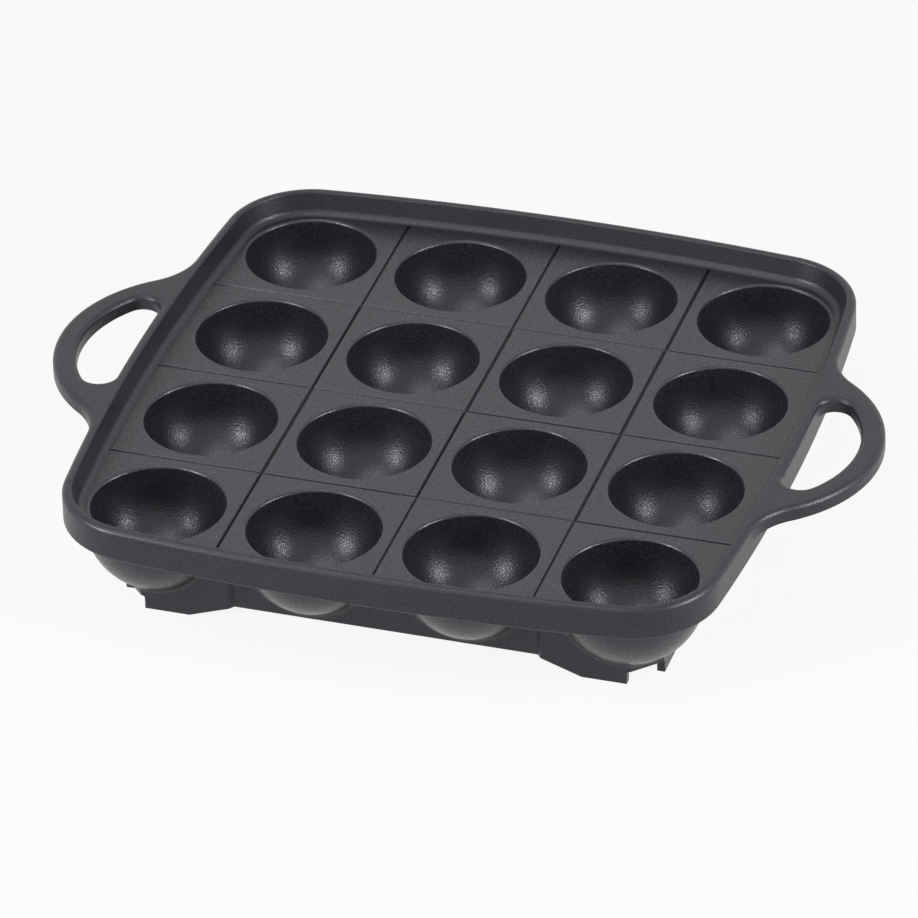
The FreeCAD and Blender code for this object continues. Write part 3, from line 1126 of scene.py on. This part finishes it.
@dataclass
class Skirt(Assembly):
    """The walls under the deck, with their feet, and the short walls across the corners."""

    bedding: float = 0.5 * MM       # how far the walls are let into the cups' outsides
    edge_steps: int = 3

    def prism(self, name: str, plan: list[tuple[float, float]], bottom: float) -> Piece:
        """An upright solid over a plan, up to the deck's underside."""
        corners = [(Vector((x, y, bottom)), 0) for x, y in plan]
        return extruded_outline(name, corners, UP * (self.sizes.deck_under - bottom))

    @staticmethod
    def both_ends(half: list[tuple[float, float]]) -> list[tuple[float, float]]:
        """A plan from its far half, which runs away from the middle and back."""
        return [(x, -y) for x, y in half[::-1]] + half

    def under_cut(self) -> Piece:
        """Models what the right wall's lower edge leaves open.

        Returns:
            The gap between its feet and the ends beyond them, as one tool.
        """
        sizes = self.sizes
        edge = sizes.skirt_clearance
        slope = sizes.foot_inner_end
        sole = slope + sizes.foot_slope_run
        outlines = [[((-sole, -PAST), 0), ((-sole, 0), 0), ((-slope, edge), 0), ((slope, edge), 0),
                     ((sole, 0), 0), ((sole, -PAST), 0)]]
        for way in (1, -1):
            end = way * (sizes.skirt_end - sizes.foot_end_gap - sizes.foot_end_round)
            beyond = way * (sizes.skirt_end + PAST)
            outlines.append([((end, -PAST), 0), ((end, edge), sizes.foot_end_round), ((beyond, edge), 0),
                             ((beyond, -PAST), 0)])
        x = sizes.skirt_half_width - 2 * PAST
        return joined([extruded_outline("under_cut", [(Vector((x, *place)), radius) for place, radius in outline],
                                        FORWARD * 3 * PAST) for outline in outlines])

    def soften(self, piece: Piece) -> None:
        """Rounds the lower edges, but not those in the mitre planes.

        Args:
            piece: the wall.
        """
        sizes = self.sizes
        faces_of: dict[tuple[int, int], list[Vector]] = {}
        for polygon in piece.data.polygons:
            for key in polygon.edge_keys:
                faces_of.setdefault(key, []).append(polygon.normal)
        points = piece.data.vertices

        def belongs(edge: bpy.types.MeshEdge) -> bool:
            """Tests an edge.

            Args:
                edge: the edge.

            Returns:
                Whether it is low and sharp and inside the mitres.
            """
            ends = [points[index].co for index in edge.vertices]
            normals = faces_of[edge.key]
            return (
                all(end.z < sizes.skirt_clearance + LEVEL for end in ends)
                and not all(abs(end.y) > sizes.skirt_mitre - LEVEL for end in ends)
                and len(normals) == 2 and normals[0].angle(normals[1]) > SMOOTH_UP_TO
            )

        select_edges(piece, belongs)
        with editing(piece, "EDGE", select_all=False):
            bpy.ops.mesh.bevel(offset=sizes.skirt_edge_round, segments=self.edge_steps, clamp_overlap=True)

    def outsides(self, rows: range) -> Piece:
        """Turns the cups' outsides along the right wall, drawn in by the bedding.

        Args:
            rows: the rows of the cups, from 0.

        Returns:
            The outsides as one tool.
        """
        pattern = self.bowls.outside(self.bedding)
        last = self.sizes.cups_per_side - 1
        tools = [copy_of(pattern, "outside", move=self.sizes.cup_centre(row, last)) for row in rows]
        remove(pattern)
        return joined(tools)

    def let_in(self, wall: Piece, fillets: Piece, zone: list[tuple[float, float]],
               rows: range) -> None:
        """Gives a wall its fillets, and lets it into the cups' outsides.

        Args:
            wall: the wall.
            fillets: the fillets all round its cups.
            zone: the plan of what is kept of them.
            rows: the rows of its cups, from 0.
        """
        combine(fillets, "INTERSECT", self.prism("zone", zone, self.sizes.skirt_clearance))
        combine(wall, "UNION", fillets)
        combine(wall, "DIFFERENCE", self.outsides(rows))
        weld(wall)

    def wall(self) -> Piece:
        """Models the right wall.

        Returns:
            The wall with both its feet.
        """
        sizes = self.sizes
        last = sizes.cups_per_side - 1
        inner = sizes.skirt_half_width - sizes.skirt_wall
        set_back = sizes.skirt_half_width - sizes.skirt_recess
        recess_end = sizes.foot_inner_end - sizes.recess_step
        half = [(set_back - sizes.skirt_wall, recess_end), (inner, sizes.foot_inner_end), (inner, sizes.skirt_mitre),
                (sizes.skirt_half_width, sizes.skirt_end), (sizes.skirt_half_width, sizes.foot_inner_end),
                (set_back, recess_end)]
        wall = self.prism("right_wall", self.both_ends(half), 0)
        combine(wall, "DIFFERENCE", self.under_cut())
        weld(wall)
        self.soften(wall)
        at_foot = self.bowls.fillet_ring(sizes.skirt_stand_out)
        in_recess = self.bowls.fillet_ring(sizes.skirt_stand_out - sizes.skirt_recess)
        rings = [copy_of(at_foot if row in (0, last) else in_recess, "ring", move=sizes.cup_centre(row, last))
                 for row in range(sizes.cups_per_side)]
        remove(at_foot)
        remove(in_recess)
        zone = [(inner, sizes.skirt_mitre), (inner + PAST, sizes.skirt_mitre + PAST * MITRE_SLOPE)]
        self.let_in(wall, joined(rings), self.both_ends(zone), range(sizes.cups_per_side))
        return wall

    def corner(self) -> Piece:
        """Models the short wall across the back right corner.

        Returns:
            The wall.
        """
        sizes = self.sizes
        last = sizes.cups_per_side - 1
        inner = sizes.skirt_half_width - sizes.skirt_wall
        mitre = sizes.skirt_mitre
        out = (inner + PAST, mitre + PAST * MITRE_SLOPE)
        plan = [(sizes.skirt_half_width, sizes.skirt_end), (sizes.skirt_end, sizes.skirt_half_width),
                (mitre, inner), (inner, mitre)]
        corner = self.prism("corner_wall", plan, sizes.skirt_clearance)
        ring = self.bowls.fillet_ring(sizes.skirt_stand_out * math.sqrt(2) - sizes.skirt_corner_cut / math.sqrt(2))
        ring.data.transform(Matrix.Translation(sizes.cup_centre(last, last)) @ Matrix.Rotation(QUARTER / 2, 4, "Z"))
        self.let_in(corner, ring, [(inner, mitre), out, out[::-1], (mitre, inner)], range(last, last + 1))
        return corner

    def build(self) -> None:
        """Models one wall and one corner, and copies them to the four sides."""
        wall = self.wall()
        corner = self.corner()
        for quarter, (side, place) in enumerate(zip(SIDES, CORNERS)):
            before, after = SIDES[quarter - 1], SIDES[(quarter + 1) % len(SIDES)]
            self.dresser.dress(copy_of(wall, f"coated_{side}_skirt", quarter), Slot.OUTER,
                               f"{side}_skirt", f"{side}_skirt_{before}_foot", f"{side}_skirt_{after}_foot")
            self.dresser.dress(copy_of(corner, f"coated_{place}_corner_skirt", quarter), Slot.OUTER,
                               f"{place}_corner_skirt")
        remove(wall)
        remove(corner)


# ---- Studio ----


@dataclass(frozen=True)
class Softbox:
    """One soft lamp, which faces the middle of the plate."""

    name: str
    place: Vector
    width: float
    height: float
    power: float

    def build(self, aim: Vector) -> None:
        """Sets the lamp up.

        Args:
            aim: what it faces.
        """
        lamp = bpy.data.lights.new(self.name, "AREA")
        lamp.shape = "RECTANGLE"
        lamp.size = self.width
        lamp.size_y = self.height
        lamp.energy = self.power
        holder = placed(self.name, lamp)
        holder.location = self.place
        holder.rotation_euler = (aim - self.place).to_track_quat("-Z", "Y").to_euler()


@dataclass(frozen=True)
class View:
    """Where the camera stands: round the middle of the deck, with a long lens."""

    azimuth: float = math.radians(18.072)
    elevation: float = math.radians(33.169)
    roll: float = math.radians(-1.491)
    distance: float = 2645.24 * MM
    shift_right: float = 2.184 * MM
    shift_up: float = 15.652 * MM
    lens: float = 321.88            # in millimetres, as the camera's own settings are
    sensor: float = 36.0
    nearest: float = 0.1
    farthest: float = 50.0

    def build(self, aim: Vector) -> None:
        """Makes the scene's camera.

        Args:
            aim: what is near the middle of its picture.
        """
        azimuth, elevation = self.azimuth, self.elevation
        back = Vector((math.sin(azimuth) * math.cos(elevation), -math.cos(azimuth) * math.cos(elevation),
                       math.sin(elevation)))
        level = UP.cross(back).normalized()
        upright = back.cross(level)
        right = level * math.cos(self.roll) + upright * math.sin(self.roll)
        up = upright * math.cos(self.roll) - level * math.sin(self.roll)
        camera = bpy.data.cameras.new("camera")
        camera.sensor_width = self.sensor
        camera.lens = self.lens
        camera.clip_start = self.nearest
        camera.clip_end = self.farthest
        holder = placed("camera", camera)
        place = aim + back * self.distance - right * self.shift_right - up * self.shift_up
        holder.matrix_world = Matrix.Translation(place) @ Matrix((right, up, back)).transposed().to_4x4()
        bpy.context.scene.camera = holder


@dataclass(frozen=True)
class Studio:
    """A pale floor that runs out to white, soft lamps and the camera."""

    aim: Vector
    floor_colour: str = "#E4E4E6"
    floor_glow: float = 0.90
    floor_size: float = 30.0
    fill: float = 0.05
    lamps: tuple[Softbox, ...] = (
        Softbox("right_lamp", Vector((0.79, -0.09, 0.36)), 0.26, 0.36, 5.4),
        Softbox("front_left_lamp", Vector((-0.63, -0.60, 0.38)), 0.30, 0.36, 6.0),
        Softbox("overhead_lamp", Vector((-0.26, -0.28, 1.15)), 0.80, 0.80, 3.5),
    )

    @staticmethod
    def seen_directly(tree: bpy.types.NodeTree) -> bpy.types.NodeSocket:
        """Tells what the camera sees, also by reflection or through glass, from what is only lit.

        Args:
            tree: the node tree that is to know it.

        Returns:
            A socket that is 1 for what is seen and 0 otherwise.
        """
        path = add_node(tree, "ShaderNodeLightPath").outputs
        share = path["Is Transmission Ray"]
        for ray in ("Is Glossy Ray", "Is Camera Ray"):
            share = add_node(tree, "ShaderNodeMath", {"operation": "MAXIMUM"}, {0: path[ray], 1: share}).outputs[0]
        return share

    def build_floor(self) -> None:
        """A pale floor, of which part is a plain white glow where it is seen directly, so it lights nothing."""
        deselect_all()
        bpy.ops.mesh.primitive_plane_add(size=self.floor_size)
        floor = bpy.context.object
        floor.name = "floor"
        material = bpy.data.materials.new("matt_paper")
        tree = blank_tree(material)
        paper = add_node(tree, "ShaderNodeBsdfDiffuse", {"Color": linear(self.floor_colour)})
        glow = add_node(tree, "ShaderNodeEmission", {"Color": WHITE, "Strength": 1.0})
        share = add_node(tree, "ShaderNodeMath", {"operation": "MULTIPLY", 1: self.floor_glow},
                         {0: self.seen_directly(tree)})
        mix = add_node(tree, "ShaderNodeMixShader", {},
                       {0: share.outputs[0], 1: paper.outputs["BSDF"], 2: glow.outputs["Emission"]})
        add_node(tree, "ShaderNodeOutputMaterial", {}, {"Surface": mix.outputs["Shader"]})
        floor.data.materials.append(material)

    def build_world(self) -> None:
        """White where it is seen, and a weaker fill light otherwise."""
        world = bpy.data.worlds.new("surroundings")
        bpy.context.scene.world = world
        tree = blank_tree(world)
        strength = add_node(tree, "ShaderNodeMapRange", {"To Min": self.fill, "To Max": 1.0},
                            {"Value": self.seen_directly(tree)})
        light = add_node(tree, "ShaderNodeBackground", {"Color": WHITE},
                         {"Strength": strength.outputs["Result"]})
        add_node(tree, "ShaderNodeOutputWorld", {}, {"Surface": light.outputs["Background"]})

    def build(self, view: View) -> None:
        """Sets up the floor, the world, the lamps and the camera.

        Args:
            view: where the camera stands.
        """
        self.build_floor()
        self.build_world()
        for lamp in self.lamps:
            lamp.build(self.aim)
        view.build(self.aim)
        bpy.context.scene.view_settings.view_transform = "Standard"


def main() -> None:
    """Builds the plate and its studio."""
    logging.basicConfig(level=logging.INFO, format="%(message)s")
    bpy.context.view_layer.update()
    sizes = PlateSizes()
    sizes.check_against_frame()
    dresser = Dresser({Slot.NON_STICK: NON_STICK.build(), Slot.OUTER: HEAT_RESISTANT.build()})
    scores = ScoreBars(sizes)
    basis = (sizes, Plan(sizes), Bowls(sizes), scores, dresser)
    for assembly in (Cups, Rims, Handles):
        assembly(*basis).build()
    scores.clear_away()
    Skirt(*basis).build()
    Studio(aim=UP * sizes.deck_height).build(View())
    bpy.context.view_layer.update()


if __name__ == "__main__":
    main()
